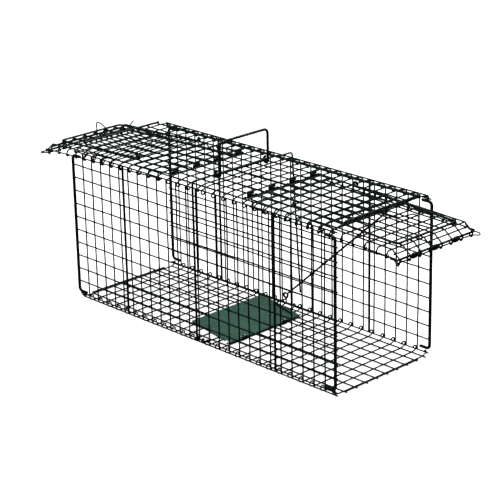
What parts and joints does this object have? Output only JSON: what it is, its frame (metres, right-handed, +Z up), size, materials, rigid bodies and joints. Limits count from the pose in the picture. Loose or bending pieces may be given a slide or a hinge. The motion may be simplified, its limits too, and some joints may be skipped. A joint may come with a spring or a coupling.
{
  "type": "live catch trap",
  "caption": "Folding cage trap of green welded wire mesh with a drop door at each end, a tilting treadle pan, a trigger rod, lock bails and a wire carry handle",
  "frame": {"origin": "on the ground, under the middle of the trap", "axes": "X along the cage through both doors, Y across it from the near side to the far side, Z up"},
  "size_m": [0.8996, 0.2418, 0.3612],
  "materials": {
    "green_wire": "satin",
    "green_sheet": "satin",
    "clip_steel": "dull"
  },
  "bodies": {
    "cage_floor": {"floor_mesh": "green_wire", "floor_bar_left": "green_wire", "floor_bar_right": "green_wire", "pan_clips": "clip_steel"},
    "near_side": {"near_side_mesh": "green_wire", "near_end_rod_left": "green_wire", "near_end_rod_right": "green_wire", "near_mid_rod_left": "green_wire", "near_mid_rod_right": "green_wire"},
    "far_side": {"far_side_mesh": "green_wire", "far_end_rod_left": "green_wire", "far_end_rod_right": "green_wire", "far_mid_rod_left": "green_wire", "far_mid_rod_right": "green_wire", "rod_guides": "green_wire"},
    "roof": {"roof_mesh": "green_wire", "roof_bar_left": "green_wire", "roof_bar_right": "green_wire", "handle_bar": "green_wire", "set_hook_guides": "green_wire", "left_door_clips": "clip_steel", "right_door_clips": "clip_steel"},
    "near_strut": {"near_lock_strut": "green_wire"},
    "far_strut": {"far_lock_strut": "green_wire"},
    "handle": {"carry_handle": "green_wire"},
    "left_door": {"left_door_mesh": "green_wire", "left_door_pin": "green_wire", "left_door_hem": "green_wire", "left_door_bar": "green_wire", "left_door_ferrules": "clip_steel", "left_door_ears": "green_wire"},
    "right_door": {"right_door_mesh": "green_wire", "right_door_pin": "green_wire", "right_door_hem": "green_wire", "right_door_bar": "green_wire", "right_door_ferrules": "clip_steel", "right_door_ears": "green_wire"},
    "left_bail": {"left_lock_bail": "green_wire"},
    "right_bail": {"right_lock_bail": "green_wire"},
    "left_hook": {"left_set_hook": "green_wire"},
    "right_hook": {"right_set_hook": "green_wire"},
    "pan": {"trigger_pan": "green_sheet", "pan_axle": "green_wire", "pan_arm": "green_wire"},
    "rod": {"trigger_rod": "green_wire"}
  },
  "joints": [
    {"name": "fold", "type": "hinge", "parent": "cage_floor", "child": "near_side", "pos_m": [0, -0.1143, 0.00902], "axis": [1, 0, 0], "range_deg": [-29, 0]},
    {"name": "far_fold", "type": "hinge", "parent": "cage_floor", "child": "far_side", "pos_m": [0, 0.1143, 0.00902], "axis": [1, 0, 0], "range_deg": [-29, 0]},
    {"name": "roof_fold", "type": "hinge", "parent": "near_side", "child": "roof", "pos_m": [0, -0.1143, 0.28842], "axis": [1, 0, 0], "range_deg": [0, 29]},
    {"name": "near_strut_swing", "type": "hinge", "parent": "cage_floor", "child": "near_strut", "pos_m": [-0.005, -0.1143, 0.00902], "axis": [1, 0, 0], "range_deg": [0, 80]},
    {"name": "far_strut_swing", "type": "hinge", "parent": "far_side", "child": "far_strut", "pos_m": [0, 0.11922, 0.30092], "axis": [0, 1, 0], "range_deg": [-10, 10]},
    {"name": "left_door_drop", "type": "hinge", "parent": "roof", "child": "left_door", "pos_m": [-0.09525, 0, 0.28655], "axis": [0, -1, 0], "range_deg": [0, 47]},
    {"name": "right_door_drop", "type": "hinge", "parent": "roof", "child": "right_door", "pos_m": [0.09525, 0, 0.28655], "axis": [0, 1, 0], "range_deg": [0, 47]},
    {"name": "left_bail_turn", "type": "hinge", "parent": "roof", "child": "left_bail", "pos_m": [-0.19685, 0, 0.29542], "axis": [0, -1, 0], "range_deg": [0, 70]},
    {"name": "right_bail_turn", "type": "hinge", "parent": "roof", "child": "right_bail", "pos_m": [0.19685, 0, 0.29542], "axis": [0, 1, 0], "range_deg": [0, 70]},
    {"name": "handle_turn", "type": "hinge", "parent": "roof", "child": "handle", "pos_m": [-0.004, 0, 0.30096], "axis": [0, 1, 0], "range_deg": [-90, 60]},
    {"name": "pan_tilt", "type": "hinge", "parent": "cage_floor", "child": "pan", "pos_m": [0.04445, 0, 0.00707], "axis": [0, 1, 0], "range_deg": [-6.5, 0]},
    {"name": "rod_slide", "type": "slide", "parent": "far_side", "child": "rod", "axis": [0.7478, 0, 0.6639], "range_m": [-0.008, 0]},
    {"name": "left_hook_slide", "type": "slide", "parent": "roof", "child": "left_hook", "axis": [1, 0, 0], "range_m": [-0.005, 0]},
    {"name": "right_hook_slide", "type": "slide", "parent": "roof", "child": "right_hook", "axis": [1, 0, 0], "range_m": [0, 0.005]}
  ],
  "couplings": [
    {"joint": "far_fold", "follows": "fold", "ratio": 1},
    {"joint": "roof_fold", "follows": "fold", "ratio": -1},
    {"joint": "left_bail_turn", "follows": "left_door_drop", "ratio": 1.38},
    {"joint": "right_bail_turn", "follows": "right_door_drop", "ratio": 1.38},
    {"joint": "rod_slide", "follows": "pan_tilt", "m_per_rad": 0.0704},
    {"joint": "left_hook_slide", "follows": "pan_tilt", "m_per_rad": 0.044},
    {"joint": "right_hook_slide", "follows": "pan_tilt", "m_per_rad": -0.044}
  ]
}
